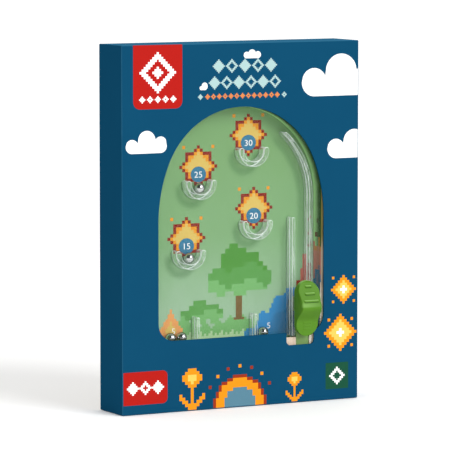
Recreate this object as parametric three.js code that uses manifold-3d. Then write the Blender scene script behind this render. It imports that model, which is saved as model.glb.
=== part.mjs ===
// A pocket pinball game standing in its windowed card carton.
// Millimetres. X runs across, Y back from the front, Z up. The origin is the centre of the carton's bottom.
import * as THREE from "three";
import { mergeVertices } from "three/addons/utils/BufferGeometryUtils.js";
import Module from "manifold-3d";

const wasm = await Module();
wasm.setup();

// Carton: a windowed cover over a shallow base, with a folded cradle inside
const sideMargin = 14;
const topMargin = 25.8;
const cradleDepth = 8.3;
const card = 0.8;
const cardClearance = 0.3;
const windowReveal = 1;
const windowDrop = 11.5;
const windowHaunch = 31.7;
const windowRise = 13.1;
const windowSill = 2.7;
const windowCorner = 9.5;
const notchWidth = 17.4;
const notchOffset = 2.9;
const notchDrop = 6.9;
const notchCorner = 2.5;
const cradleInset = 6.2;

// Game: a wooden frame round an arched play recess
const gameLift = 20;
const gameSetback = 1.5;
const recessRadius = 50.5;
const recessStraight = 78.3;
const recessCorner = 9;
const frameWall = 9;
const frameCorner = 14;
const bottomRail = 16.4;
const clearPlate = 1;
const playDepth = 6.6;
const board = 4;
const boardLip = 3;
const boardClearance = 0.3;
const plateClearance = 0.3;
const backPanel = 4;

// Clear rails, posts and cups on the board. Places are from the middle of the recess's bottom edge.
const railWidth = 2;
const railClearance = 0.3;
const laneInset = 10.7;
const laneWidth = 9;
const laneRailTop = 66.4;
const launchRailFoot = 2;
const launchRailTurn = THREE.MathUtils.degToRad(49.5);
const dividerTop = 14.1;
const dividerShares = { divider_left: -0.5, divider_right: 0.214 };
const cupRadius = 9.2;
const cupWall = 3;
const cupShares = {
  cup_30: { across: 0.19, up: 0.8105 },
  cup_25: { across: -0.457, up: 0.6801 },
  cup_20: { across: 0.238, up: 0.4977 },
  cup_15: { across: -0.586, up: 0.3847 },
};

// Balls
const ballRadius = 3;
const ballPlay = 0.3;
const cornerBallInset = 0.6;
const ballGap = 0.8;
const dividerBallGap = 1.9;

// Launcher: a slide plate in a groove, a striker block behind it, a thumb knob in front
const launcherOffset = 0.3;
const launcherTravel = 9;
const travelClearance = 0.4;
const grooveWall = 2.4;
const slideWidth = 7.8;
const slideThickness = 2;
const slideRecess = 0.6;
const slideClearance = 0.3;
const slideLength = 26.4;
const strikerWidth = 6;
const strikerLength = 8;
const strikerClearance = 0.4;
const bossLength = 14.4;
const springWire = 0.5;
const springRadius = 1.95;
const springTurns = 13;
const springClearance = 0.3;
const springPin = 1.3;
const springPinLength = 6;
const knobLength = 30.9;
const knobRadius = 6.8;
const knobClearance = 0.3;
const knobDrop = 5.3;
const knobSkirt = 1;
const knobRidge = 8.6;
const knobToe = 2.4;
const knobHead = 3;
const knobFootShare = 0.227;
const knobRidgeShare = 0.547;
const knobHeadShare = 0.919;
const knobEdge = 1.6;
const ribHeight = 0.35;
const ribThickness = 0.9;
const ribPitchShare = 0.126;
const ribLengths = [9.4, 6.6, 4.4];
const firstRibShare = 0.75;

// Wood screws of the back panel
const screwRadius = 1.2;
const screwLength = 9;
const screwHeadRadius = 2.4;
const screwHeadDepth = 1.5;
const screwWall = 0.6;
const screwClearance = 0.3;
const screwSink = 0.2;
const screwInset = 10.5;

// How finely round stretches are cut
const archSteps = 40;
const haunchSteps = 6;
const cornerSteps = 6;
const cupSteps = 18;
const tipSteps = 6;
const roundSides = 16;
const overrun = 1;

// Levels inside the game's own frame: its front face is y = 0 and its bottom edge is z = 0
const archZ = bottomRail + recessStraight;
const recessHeight = recessStraight + recessRadius;
const plateBackY = clearPlate;
const floorY = clearPlate + playDepth;
const frameBackY = floorY + board;
const gameBackY = frameBackY + backPanel;
const gameRadius = recessRadius + frameWall;
const boardRecessRadius = recessRadius + boardLip;
const boardRecessZ = bottomRail - boardLip;
const laneX = recessRadius - laneInset;
const launcherX = laneX - launcherOffset;
const grooveWidth = slideWidth + 2 * slideClearance;
const grooveEndZ = grooveWall;
const slideBottomZ = grooveEndZ + launcherTravel + travelClearance;
const slideBackY = slideRecess + slideThickness;
const springY = (slideBackY + floorY) / 2;
const knobRidgeZ = knobLength * knobRidgeShare;

// Levels in the carton
const cartonWidth = 2 * (gameRadius + sideMargin);
const cartonDepth = 2 * card + gameSetback + gameBackY + cradleDepth;
const cartonHeight = gameLift + archZ + gameRadius + topMargin;
const cartonFrontY = -cartonDepth / 2;
const cardBackY = cartonFrontY + card;
const gameFaceY = cardBackY + gameSetback;
const knobBackY = cartonFrontY - gameFaceY - knobClearance;

// One material for each kind of finish, cloned for each piece
const finishes = {
  blueCard: new THREE.MeshStandardMaterial({ color: 0x145274, roughness: 0.55 }),
  greyCard: new THREE.MeshStandardMaterial({ color: 0xd9d2c4, roughness: 0.9 }),
  wood: new THREE.MeshStandardMaterial({ color: 0xe6cda4, roughness: 0.7 }),
  print: new THREE.MeshStandardMaterial({ color: 0x8cb97d, roughness: 0.5 }),
  clear: new THREE.MeshStandardMaterial({ color: 0xe8f2ee, roughness: 0.1, opacity: 0.3, transparent: true }),
  green: new THREE.MeshStandardMaterial({ color: 0x69a83c, roughness: 0.4 }),
  steel: new THREE.MeshStandardMaterial({ color: 0xc8c8cc, roughness: 0.12, metalness: 1 }),
};

// The points of a round stretch from one angle to another, in the X-Z plane
function arcPoints(centreX, centreZ, radius, from, to, steps) {
  return Array.from({ length: steps + 1 }, (unused, i) => {
    const angle = from + ((to - from) * i) / steps;
    return new THREE.Vector2(centreX + radius * Math.cos(angle), centreZ + radius * Math.sin(angle));
  });
}

function rectangle(left, right, bottom, top) {
  return [
    new THREE.Vector2(left, bottom),
    new THREE.Vector2(right, bottom),
    new THREE.Vector2(right, top),
    new THREE.Vector2(left, top),
  ];
}

// A half-round arch on straight sides with rounded bottom corners
function archOutline(radius, bottom, corner, top = archZ) {
  const cornerX = radius - corner;
  const cornerZ = bottom + corner;
  return [
    ...arcPoints(-cornerX, cornerZ, corner, Math.PI, 1.5 * Math.PI, cornerSteps),
    ...arcPoints(cornerX, cornerZ, corner, 1.5 * Math.PI, 2 * Math.PI, cornerSteps),
    ...arcPoints(0, top, radius, 0, Math.PI, archSteps),
  ];
}

// A plate of one outline between two depths, with outlines cut through it
function plate(outline, frontY, backY, holes = []) {
  const shape = new THREE.Shape(outline);
  shape.holes = holes.map((hole) => new THREE.Path(hole));
  const geometry = new THREE.ExtrudeGeometry(shape, { depth: 1, bevelEnabled: false });
  const points = geometry.attributes.position;
  for (let i = 0; i < points.count; i += 1) {
    const y = backY + (frontY - backY) * points.getZ(i);
    points.setXYZ(i, points.getX(i), y, points.getY(i));
  }
  geometry.computeVertexNormals();
  return geometry;
}

function block(left, right, frontY, backY, bottom, top) {
  return plate(rectangle(left, right, bottom, top), frontY, backY);
}

// A turned form about the Y axis, drawn as [radius, y] from the front end to the back end
function turned(profile, sides = roundSides) {
  const points = profile.map(([radius, y]) => new THREE.Vector2(radius, y));
  return new THREE.LatheGeometry(points, sides);
}

function solidFrom(geometry) {
  const plain = geometry.clone();
  plain.deleteAttribute("normal");
  plain.deleteAttribute("uv");
  const merged = mergeVertices(plain);
  return new wasm.Manifold(
    new wasm.Mesh({
      numProp: 3,
      vertProperties: merged.attributes.position.array,
      triVerts: new Uint32Array(merged.index.array),
    }),
  );
}

function geometryFrom(solid) {
  const mesh = solid.getMesh();
  const geometry = new THREE.BufferGeometry();
  geometry.setAttribute("position", new THREE.BufferAttribute(mesh.vertProperties, 3));
  geometry.setIndex(new THREE.BufferAttribute(mesh.triVerts, 1));
  geometry.computeVertexNormals();
  return geometry;
}

function joined(...geometries) {
  return geometryFrom(geometries.map(solidFrom).reduce((whole, next) => whole.add(next)));
}

function cut(geometry, ...cutters) {
  const whole = cutters.map(solidFrom).reduce((rest, cutter) => rest.subtract(cutter), solidFrom(geometry));
  return geometryFrom(whole);
}

function addPiece(parent, name, geometry, finish, x = 0, y = 0, z = 0) {
  const mesh = new THREE.Mesh(geometry, finishes[finish].clone());
  mesh.name = name;
  mesh.position.set(x, y, z);
  parent.add(mesh);
  return mesh;
}

// The window's arch: its haunches bend in gently and run into a round crown
function windowArch(radius, springing) {
  const haunchRadius = radius + windowHaunch;
  const crownRadius = haunchRadius - Math.hypot(windowHaunch, windowRise);
  const turn = Math.atan2(windowRise, windowHaunch);
  return [
    ...arcPoints(-windowHaunch, springing, haunchRadius, 0, turn, haunchSteps),
    ...arcPoints(0, springing + windowRise, crownRadius, turn, Math.PI - turn, archSteps).slice(1, -1),
    ...arcPoints(windowHaunch, springing, haunchRadius, Math.PI - turn, Math.PI, haunchSteps),
  ];
}

// The window's outline: an arch with a notch for the launcher let into its bottom edge
function windowOutline() {
  const radius = recessRadius + windowReveal;
  const springing = gameLift + archZ - windowDrop;
  const bottom = gameLift + bottomRail + windowSill;
  const cornerX = radius - windowCorner;
  const cornerZ = bottom + windowCorner;
  const notchX = launcherX - notchOffset;
  const left = notchX - notchWidth / 2;
  const right = notchX + notchWidth / 2;
  const notchZ = bottom - notchDrop + notchCorner;
  const meet = -Math.acos(Math.min(1, (right - cornerX) / windowCorner));
  return [
    ...arcPoints(left + notchCorner, notchZ, notchCorner, Math.PI, 1.5 * Math.PI, cornerSteps),
    ...arcPoints(right - notchCorner, notchZ, notchCorner, 1.5 * Math.PI, 2 * Math.PI, cornerSteps),
    ...arcPoints(cornerX, cornerZ, windowCorner, meet, 0, cornerSteps),
    ...windowArch(radius, springing),
    ...arcPoints(-cornerX, cornerZ, windowCorner, Math.PI, 1.5 * Math.PI, cornerSteps),
    new THREE.Vector2(left, bottom),
  ];
}

function boxCover() {
  const side = cartonWidth / 2;
  const outside = rectangle(-side, side, 0, cartonHeight);
  const inside = rectangle(-side + card, side - card, card, cartonHeight - card);
  const front = plate(outside, cartonFrontY, cardBackY, [windowOutline()]);
  const walls = plate(outside, cartonFrontY, cartonDepth / 2, [inside]);
  return joined(front, walls);
}

// A tray of card: four walls and a panel, a given distance inside the carton's outside faces
function boxBase() {
  const step = card + cardClearance;
  const side = cartonWidth / 2 - step;
  const outside = rectangle(-side, side, step, cartonHeight - step);
  const inside = rectangle(-side + card, side - card, step + card, cartonHeight - step - card);
  const walls = plate(outside, cardBackY + cardClearance, cartonDepth / 2, [inside]);
  const back = plate(outside, cartonDepth / 2 - card, cartonDepth / 2);
  return joined(walls, back);
}

// The cradle: a raised panel with a well of the game's outline, on folded legs
function boxInsert() {
  const step = 2 * (card + cardClearance);
  const side = cartonWidth / 2 - step;
  const frontY = gameFaceY + cradleInset;
  const legY = cartonDepth / 2 - card - cardClearance;
  const wellY = gameFaceY + gameBackY + cardClearance;
  const outside = rectangle(-side, side, step, cartonHeight - step);
  const inside = rectangle(-side + card, side - card, step + card, cartonHeight - step - card);
  const arch = gameLift + archZ;
  const hole = wellOutline(cardClearance, arch);
  const sleeve = wellOutline(cardClearance + card, arch);
  const panel = plate(outside, frontY, frontY + card, [hole]);
  const legs = plate(outside, frontY, legY, [inside]);
  const wellWall = plate(sleeve, frontY, wellY + card, [hole]);
  const wellFloor = plate(sleeve, wellY, wellY + card);
  return joined(panel, legs, wellWall, wellFloor);
}

function wellOutline(growth, arch) {
  return archOutline(gameRadius + growth, gameLift - growth, frameCorner + growth, arch);
}

// Where the back's screws stand: two in the bottom rail and two in the arch
function screwPlaces() {
  const ring = boardRecessRadius + screwWall + screwRadius + screwClearance;
  const slant = ring * Math.SQRT1_2;
  const corner = gameRadius - screwInset;
  return [
    { x: -corner, z: boardRecessZ / 2 },
    { x: corner, z: boardRecessZ / 2 },
    { x: -slant, z: archZ + slant },
    { x: slant, z: archZ + slant },
  ];
}

// A countersunk screw along Y: its head at the back, its point towards the front
function screwForm(growth) {
  const head = screwHeadRadius + growth;
  const shank = screwRadius + growth;
  const tip = -screwLength - growth;
  return [
    [0, tip],
    [shank, tip + screwRadius],
    [shank, -screwHeadDepth],
    [head, -growth],
    [head, growth ? overrun : 0],
    [0, growth ? overrun : 0],
  ];
}

function screwHoles() {
  return screwPlaces().map(({ x, z }) =>
    turned(screwForm(screwClearance)).translate(x, gameBackY - screwSink, z),
  );
}

function frame() {
  const outer = plate(archOutline(gameRadius, 0, frameCorner), 0, frameBackY);
  const recess = plate(archOutline(recessRadius, bottomRail, recessCorner), -overrun, floorY + overrun);
  const lipOutline = archOutline(boardRecessRadius, boardRecessZ, recessCorner + boardLip);
  const boardRecess = plate(lipOutline, floorY, frameBackY + overrun);
  const left = launcherX - grooveWidth / 2;
  const groove = block(left, left + grooveWidth, -overrun, floorY, grooveEndZ, bottomRail + recessCorner);
  return cut(outer, recess, boardRecess, groove, ...screwHoles());
}

function playfield() {
  const radius = boardRecessRadius - boardClearance;
  const corner = recessCorner + boardLip - boardClearance;
  return plate(archOutline(radius, boardRecessZ + boardClearance, corner), floorY, frameBackY);
}

function backPanelPlate() {
  return cut(plate(archOutline(gameRadius, 0, frameCorner), frameBackY, gameBackY), ...screwHoles());
}

// The clear plate over the balls, with a slot that the launcher's slide fills
function clearCover() {
  const radius = recessRadius - plateClearance;
  const bottom = bottomRail + plateClearance;
  const outline = archOutline(radius, bottom, recessCorner - plateClearance);
  const half = grooveWidth / 2;
  const slotTop = slideBottomZ + slideLength + slideClearance;
  const slot = block(launcherX - half, launcherX + half, -overrun, clearPlate + overrun, 0, slotTop);
  return cut(plate(outline, 0, plateBackY), slot);
}

// A half ring that opens upwards, with rounded tips, about its own centre
function cup() {
  const inner = cupRadius - cupWall;
  const middle = cupRadius - cupWall / 2;
  const outline = [
    ...arcPoints(0, 0, cupRadius, Math.PI, 2 * Math.PI, cupSteps),
    ...arcPoints(middle, 0, cupWall / 2, 0, Math.PI, tipSteps).slice(1, -1),
    ...arcPoints(0, 0, inner, 2 * Math.PI, Math.PI, cupSteps),
    ...arcPoints(-middle, 0, cupWall / 2, 0, Math.PI, tipSteps).slice(1, -1),
  ];
  return plate(outline, -playDepth, 0);
}

// A straight post with a round top, its foot at the bottom of the recess
function post(top) {
  const half = railWidth / 2;
  const outline = [
    new THREE.Vector2(-half, railClearance),
    new THREE.Vector2(half, railClearance),
    ...arcPoints(0, top - half, half, 0, Math.PI, tipSteps),
  ];
  return plate(outline, -playDepth, 0);
}

// The long rail: straight up beside the lane, then round with the arch to a round tip
function launchRail() {
  const inner = laneX + laneWidth / 2;
  const outer = inner + railWidth;
  const middle = (inner + outer) / 2;
  const tipX = middle * Math.cos(launchRailTurn);
  const tipZ = recessStraight + middle * Math.sin(launchRailTurn);
  const outline = [
    new THREE.Vector2(inner, launchRailFoot),
    new THREE.Vector2(outer, launchRailFoot),
    ...arcPoints(0, recessStraight, outer, 0, launchRailTurn, cupSteps),
    ...arcPoints(tipX, tipZ, railWidth / 2, launchRailTurn, launchRailTurn + Math.PI, tipSteps).slice(1, -1),
    ...arcPoints(0, recessStraight, inner, launchRailTurn, 0, cupSteps),
  ];
  return plate(outline, -playDepth, 0);
}

// The slide plate with its boss, striker and spring pin. Z is measured from the plate's bottom edge.
function launcherSlider() {
  const strikerBackY = floorY - strikerClearance;
  const half = slideWidth / 2;
  const strikerHalf = strikerWidth / 2;
  const strikerZ = slideLength - strikerLength;
  const bossTop = slideLength - slideThickness / 2;
  const middleY = (slideRecess + slideBackY) / 2;
  const slide = block(-half, half, slideRecess, slideBackY, 0, slideLength);
  const boss = block(-strikerHalf, strikerHalf, knobBackY, middleY, bossTop - bossLength, bossTop);
  const striker = block(-strikerHalf, strikerHalf, middleY, strikerBackY, strikerZ, slideLength);
  const pinEnd = -springPinLength;
  const pin = turned([[0, pinEnd], [springPin, pinEnd], [springPin, overrun], [0, overrun]]);
  pin.rotateX(Math.PI / 2).translate(0, springY, strikerZ);
  return joined(slide, boss, striker, pin);
}

// The spring: one wound wire between the groove's end and the striker, with short straight ends
function launchSpring() {
  const bottom = grooveEndZ + springClearance;
  const top = slideBottomZ + slideLength - strikerLength - springClearance;
  const wound = top - bottom - 2 * springWire;
  const stepsPerTurn = 8;
  const sides = 5;
  const steps = springTurns * stepsPerTurn;
  const centres = [new THREE.Vector3(springRadius, 0, bottom)];
  for (let i = 0; i <= steps; i += 1) {
    const angle = (2 * Math.PI * i) / stepsPerTurn;
    const z = bottom + springWire + (wound * i) / steps;
    centres.push(new THREE.Vector3(springRadius * Math.cos(angle), springRadius * Math.sin(angle), z));
  }
  centres.push(centres[centres.length - 1].clone().setZ(top));
  console.log("spring: least gap between turns", leastTurnGap(centres, stepsPerTurn).toFixed(2), "mm");
  return wire(centres, springWire / 2, sides);
}

// The least clear distance between a wound wire's points that lie at least half a turn apart
function leastTurnGap(centres, stepsPerTurn) {
  let least = Infinity;
  centres.forEach((point, i) => {
    centres.slice(i + stepsPerTurn / 2).forEach((other) => {
      least = Math.min(least, point.distanceTo(other) - springWire);
    });
  });
  return least;
}

// A round wire through points, closed at both ends. Its ends face straight down and straight up.
function wire(centres, radius, sides) {
  const positions = [];
  const faces = [];
  const last = centres.length - 1;
  const up = new THREE.Vector3(0, 0, 1);
  centres.forEach((centre, i) => {
    const along = centres[Math.min(i + 1, last)].clone().sub(centres[Math.max(i - 1, 0)]).normalize();
    if (i === 0 || i === last) along.copy(up);
    const out = new THREE.Vector3(centre.x, centre.y, 0).normalize();
    const side = new THREE.Vector3().crossVectors(along, out).normalize();
    const level = new THREE.Vector3().crossVectors(side, along);
    for (let k = 0; k < sides; k += 1) {
      const angle = (2 * Math.PI * k) / sides;
      const point = centre.clone();
      point.addScaledVector(level, radius * Math.cos(angle)).addScaledVector(side, radius * Math.sin(angle));
      positions.push(point.x, point.y, point.z);
    }
  });
  for (let i = 0; i < last; i += 1) {
    for (let k = 0; k < sides; k += 1) {
      const a = i * sides + k;
      const b = i * sides + ((k + 1) % sides);
      faces.push(a, b, b + sides, a, b + sides, a + sides);
    }
  }
  for (let k = 1; k < sides - 1; k += 1) {
    const end = last * sides;
    faces.push(0, k + 1, k, end, end + k, end + k + 1);
  }
  return closedForm(positions, faces);
}

function closedForm(positions, faces) {
  const geometry = new THREE.BufferGeometry();
  geometry.setAttribute("position", new THREE.Float32BufferAttribute(positions, 3));
  geometry.setIndex(faces);
  geometry.computeVertexNormals();
  return geometry;
}

// The smaller of two values, rounded off where they meet
function softMin(a, b, blend) {
  const share = THREE.MathUtils.clamp((b - a) / blend / 2 + 1 / 2, 0, 1);
  return THREE.MathUtils.lerp(b, a, share) - blend * share * (1 - share);
}

// The knob's height along its length: a low toe, a slope up to the thumb ridge, a gentler fall to the head
function knobProfile(z) {
  if (z < knobRidgeZ) {
    const rise = THREE.MathUtils.smoothstep(z, knobLength * knobFootShare, knobRidgeZ);
    return THREE.MathUtils.lerp(knobToe, knobRidge, rise);
  }
  const fall = (z - knobRidgeZ) / (knobLength * knobHeadShare - knobRidgeZ);
  return THREE.MathUtils.lerp(knobRidge, knobHead, Math.min(fall, 1));
}

// How far a point of the knob's round-ended outline lies inside its edge
function knobInset(x, z) {
  const spine = THREE.MathUtils.clamp(z, knobRadius, knobLength - knobRadius);
  return knobRadius - Math.hypot(x, z - spine);
}

function knobHeight(x, z) {
  const inset = Math.max(knobInset(x, z), 0);
  const rounding = Math.sqrt(Math.max(0, 1 - (1 - Math.min(inset / knobEdge, 1)) ** 2));
  const wall = knobRidge * rounding;
  return knobSkirt + softMin(knobProfile(z) - knobSkirt, wall, knobEdge / 2) * Math.min(rounding * 2, 1);
}

// The thumb knob about its bottom end, with its flat underside at y = 0 and its ridge towards the front
function launcherKnob() {
  const stations = 30;
  const across = 14;
  const positions = [];
  const faces = [];
  const row = across + 3;
  for (let i = 0; i <= stations; i += 1) {
    const z = (knobLength * (1 - Math.cos((Math.PI * i) / stations))) / 2;
    const spine = THREE.MathUtils.clamp(z, knobRadius, knobLength - knobRadius);
    const half = Math.sqrt(Math.max(0, knobRadius ** 2 - (z - spine) ** 2));
    positions.push(-half, 0, z);
    for (let k = 0; k <= across; k += 1) {
      const x = -half * Math.cos((Math.PI * k) / across);
      positions.push(x, -knobHeight(x, z), z);
    }
    positions.push(half, 0, z);
  }
  for (let i = 0; i < stations; i += 1) {
    for (let k = 0; k < row; k += 1) {
      const a = i * row + k;
      const b = i * row + ((k + 1) % row);
      faces.push(a, b, b + row, a, b + row, a + row);
    }
  }
  const body = withoutSlivers(closedForm(positions, faces));
  return joined(body, ...ribLengths.map(knobRib));
}

// A raised bar across the knob's upper slope
function knobRib(length, index) {
  const z = knobRidgeZ + knobLength * ribPitchShare * (index + firstRibShare);
  const crest = knobProfile(z) + ribHeight;
  const half = length / 2;
  const outline = rectangle(-half, half, z - ribThickness / 2, z + ribThickness / 2);
  return plate(outline, -crest, -crest + ribHeight + knobSkirt);
}

// Merges corners that coincide and drops the faces that have closed up
function withoutSlivers(geometry) {
  geometry.deleteAttribute("normal");
  const merged = mergeVertices(geometry);
  const index = merged.index.array;
  const kept = [];
  for (let i = 0; i < index.length; i += 3) {
    const [a, b, c] = [index[i], index[i + 1], index[i + 2]];
    if (a !== b && b !== c && c !== a) kept.push(a, b, c);
  }
  merged.setIndex(kept);
  return merged;
}

function ball() {
  return new THREE.SphereGeometry(ballRadius, roundSides, roundSides - 4);
}

function carton() {
  const group = new THREE.Group();
  addPiece(group, "box_cover", boxCover(), "blueCard");
  addPiece(group, "box_base", boxBase(), "greyCard");
  addPiece(group, "box_insert", boxInsert(), "greyCard");
  return group;
}

function cupPlace(name) {
  const { across, up } = cupShares[name];
  return { x: across * recessRadius, z: up * recessHeight };
}

function dividerX(name) {
  return dividerShares[name] * recessRadius;
}

// The clear pieces stand on the board, so their group's origin is the board's front face
function clearPieces() {
  const group = new THREE.Group();
  group.position.set(0, floorY, bottomRail);
  Object.keys(cupShares).forEach((name) => {
    const place = cupPlace(name);
    addPiece(group, name, cup(), "clear", place.x, 0, place.z);
  });
  Object.keys(dividerShares).forEach((name) => {
    addPiece(group, name, post(dividerTop), "clear", dividerX(name));
  });
  const laneRailX = laneX - laneWidth / 2 - railWidth / 2;
  addPiece(group, "lane_rail", post(laneRailTop), "clear", laneRailX);
  addPiece(group, "launch_rail", launchRail(), "clear");
  return group;
}

function balls() {
  const group = new THREE.Group();
  group.position.set(0, floorY - ballPlay - ballRadius, bottomRail);
  const drop = cupRadius - cupWall - ballRadius - ballPlay;
  const cupBalls = { ball_1: cupPlace("cup_25"), ball_2: cupPlace("cup_15") };
  Object.entries(cupBalls).forEach(([name, place]) => {
    addPiece(group, name, ball(), "steel", place.x, 0, place.z - drop);
  });
  const cornerX = recessCorner - recessRadius + cornerBallInset;
  const pocketBallXs = {
    ball_3: cornerX,
    ball_4: cornerX + 2 * ballRadius + ballGap,
    ball_5: dividerX("divider_right") + railWidth / 2 + ballRadius + dividerBallGap,
  };
  Object.entries(pocketBallXs).forEach(([name, x]) => {
    addPiece(group, name, ball(), "steel", x, 0, ballRadius + ballPlay);
  });
  return group;
}

function launcher() {
  const group = new THREE.Group();
  group.position.set(launcherX, 0, 0);
  addPiece(group, "launcher_slider", launcherSlider(), "green", 0, 0, slideBottomZ);
  addPiece(group, "launcher_knob", launcherKnob(), "green", 0, knobBackY, slideBottomZ + knobDrop);
  addPiece(group, "launch_spring", launchSpring(), "steel", 0, springY);
  return group;
}

function game() {
  const group = new THREE.Group();
  group.position.set(0, gameFaceY, gameLift);
  addPiece(group, "frame", frame(), "wood");
  addPiece(group, "playfield", playfield(), "print");
  addPiece(group, "back_panel", backPanelPlate(), "wood");
  addPiece(group, "clear_cover", clearCover(), "clear");
  screwPlaces().forEach(({ x, z }, index) => {
    addPiece(group, `back_screw_${index + 1}`, turned(screwForm(0)), "steel", x, gameBackY - screwSink, z);
  });
  group.add(clearPieces(), balls(), launcher());
  return group;
}

const pinballInCarton = new THREE.Group();
pinballInCarton.add(carton(), game());

export default pinballInCarton;
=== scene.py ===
# The looks of a pocket pinball game in its windowed carton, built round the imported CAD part.
# Plans are drawn in millimetres: x runs across, y from front to back, z up.
import math

import bmesh
import bpy
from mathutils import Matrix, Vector


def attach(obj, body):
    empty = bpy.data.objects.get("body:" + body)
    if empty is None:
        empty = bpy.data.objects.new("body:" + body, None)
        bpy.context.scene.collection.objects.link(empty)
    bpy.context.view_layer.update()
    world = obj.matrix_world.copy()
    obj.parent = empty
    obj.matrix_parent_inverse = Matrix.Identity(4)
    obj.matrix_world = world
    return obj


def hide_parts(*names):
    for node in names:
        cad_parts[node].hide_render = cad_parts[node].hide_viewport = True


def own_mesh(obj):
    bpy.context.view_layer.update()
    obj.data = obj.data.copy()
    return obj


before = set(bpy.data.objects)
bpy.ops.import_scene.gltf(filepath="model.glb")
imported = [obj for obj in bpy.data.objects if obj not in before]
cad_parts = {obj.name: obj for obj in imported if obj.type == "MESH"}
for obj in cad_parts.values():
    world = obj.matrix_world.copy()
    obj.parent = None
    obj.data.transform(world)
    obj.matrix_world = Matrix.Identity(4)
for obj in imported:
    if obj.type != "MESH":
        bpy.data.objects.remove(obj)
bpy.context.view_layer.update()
mm = 0.001


# Colours are given as seen on a screen, 0 to 255
def paint(red, green, blue):
    shares = [level / 255 for level in (red, green, blue)]
    return [v / 12.92 if v <= 0.04045 else ((v + 0.055) / 1.055) ** 2.4 for v in shares] + [1.0]


# A socket that takes part in sums: each sign adds its Math node
class Wire:
    def __init__(self, graph, socket):
        self.graph = graph
        self.socket = socket

    def __add__(self, other):
        return self.graph.maths("ADD", self, other)

    def __sub__(self, other):
        return self.graph.maths("SUBTRACT", self, other)

    def __rsub__(self, other):
        return self.graph.maths("SUBTRACT", other, self)

    def __mul__(self, other):
        return self.graph.maths("MULTIPLY", self, other)

    def __gt__(self, other):
        return self.graph.maths("GREATER_THAN", self, other)

    def __lt__(self, other):
        return self.graph.maths("LESS_THAN", self, other)

    __radd__ = __add__
    __rmul__ = __mul__


# A node tree. The method called node adds every node, and most of the others are short ways to call it.
class Graph:
    def __init__(self, tree):
        self.tree = tree

    def node(self, kind, settings=None, inputs=None, output=0):
        made = self.tree.nodes.new(kind)
        for name, value in (settings or {}).items():
            if name == "stops":
                self.fillRamp(made.color_ramp, value)
            else:
                setattr(made, name, value)
        for name, value in (inputs or {}).items():
            self.connect(made.inputs[name], value)
        return Wire(self, made.outputs[output])

    def maths(self, operation, first, second=0.0):
        return self.node("ShaderNodeMath", {"operation": operation}, {0: first, 1: second})

    def vectors(self, operation, *inputs, output=0):
        settings = {"operation": operation}
        return self.node("ShaderNodeVectorMath", settings, dict(enumerate(inputs)), output)

    def zOf(self, vector):
        return self.node("ShaderNodeSeparateXYZ", inputs={0: vector}, output="Z")

    def connect(self, socket, value):
        if isinstance(value, Wire):
            self.tree.links.new(value.socket, socket)
        else:
            socket.default_value = value

    def fillRamp(self, ramp, stops):
        while len(ramp.elements) < len(stops):
            ramp.elements.new(0.5)
        for element, (position, colour) in zip(ramp.elements, stops):
            element.position = position
            element.color = colour

    def ramp(self, value, *stops):
        return self.node("ShaderNodeValToRGB", {"stops": stops}, {0: value})

    def blend(self, share, first, second, kind="MIX"):
        settings = {"data_type": "RGBA", "blend_type": kind}
        return self.node("ShaderNodeMix", settings, {0: share, 6: first, 7: second}, 2)

    # From 0 to 1 as a value goes from low to high, with soft ends
    def fade(self, value, low, high):
        inputs = {"Value": value, "From Min": low, "From Max": high}
        return self.node("ShaderNodeMapRange", {"interpolation_type": "SMOOTHSTEP"}, inputs)

    # 1 at a middle value, and soft to 0 on both sides of it
    def band(self, value, middle, half):
        return self.fade(value, middle - half, middle) * self.fade(value, middle + half, middle)


# One material. What is the same all over goes straight onto the shader's sockets.
class Finish(Graph):
    def __init__(self, name, constants=None, specular=0.5):
        self.material = bpy.data.materials.new(name)
        self.material.use_nodes = True
        super().__init__(self.material.node_tree)
        self.shader = self.tree.nodes["Principled BSDF"]
        self.place = self.node("ShaderNodeTexCoord", output="Object")
        parts = self.node("ShaderNodeSeparateXYZ", inputs={0: self.place}).socket.node
        self.x, self.y, self.z = (Wire(self, socket) * (1 / mm) for socket in parts.outputs)
        self.feed("Specular IOR Level", specular)
        for name, value in (constants or {}).items():
            self.feed(name, value)

    def feed(self, name, value):
        self.connect(self.shader.inputs[name], value)

    # Places pulled out upwards, so that a pattern on them turns into upright streaks
    def stretched(self, share):
        return self.vectors("MULTIPLY", self.place, (1.0, 1.0, share))

    def noise(self, size, detail=3.0, roughness=0.55, place=None):
        inputs = {"Vector": place or self.place, "Scale": 1 / (size * mm)}
        inputs.update({"Detail": detail, "Roughness": roughness})
        return self.node("ShaderNodeTexNoise", inputs=inputs)

    # How far a face looks up, from -1 to 1
    def upward(self):
        return self.zOf(self.node("ShaderNodeNewGeometry", output="Normal"))

    # The share of gloss: little on a face seen flat, most at its rim
    def rim(self, share=0.5):
        return self.node("ShaderNodeLayerWeight", inputs={0: share}, output="Facing")

    # What every finish ends with. The relief is a height, its strength and its depth.
    def complete(self, value, roughness, relief=None, socket="Base Color"):
        self.feed(socket, value)
        self.feed("Roughness", roughness)
        if relief:
            height, strength, depth = relief
            inputs = {"Height": height, "Strength": strength, "Distance": depth * mm}
            self.feed("Normal", self.node("ShaderNodeBump", inputs=inputs))
        return self.material


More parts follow.
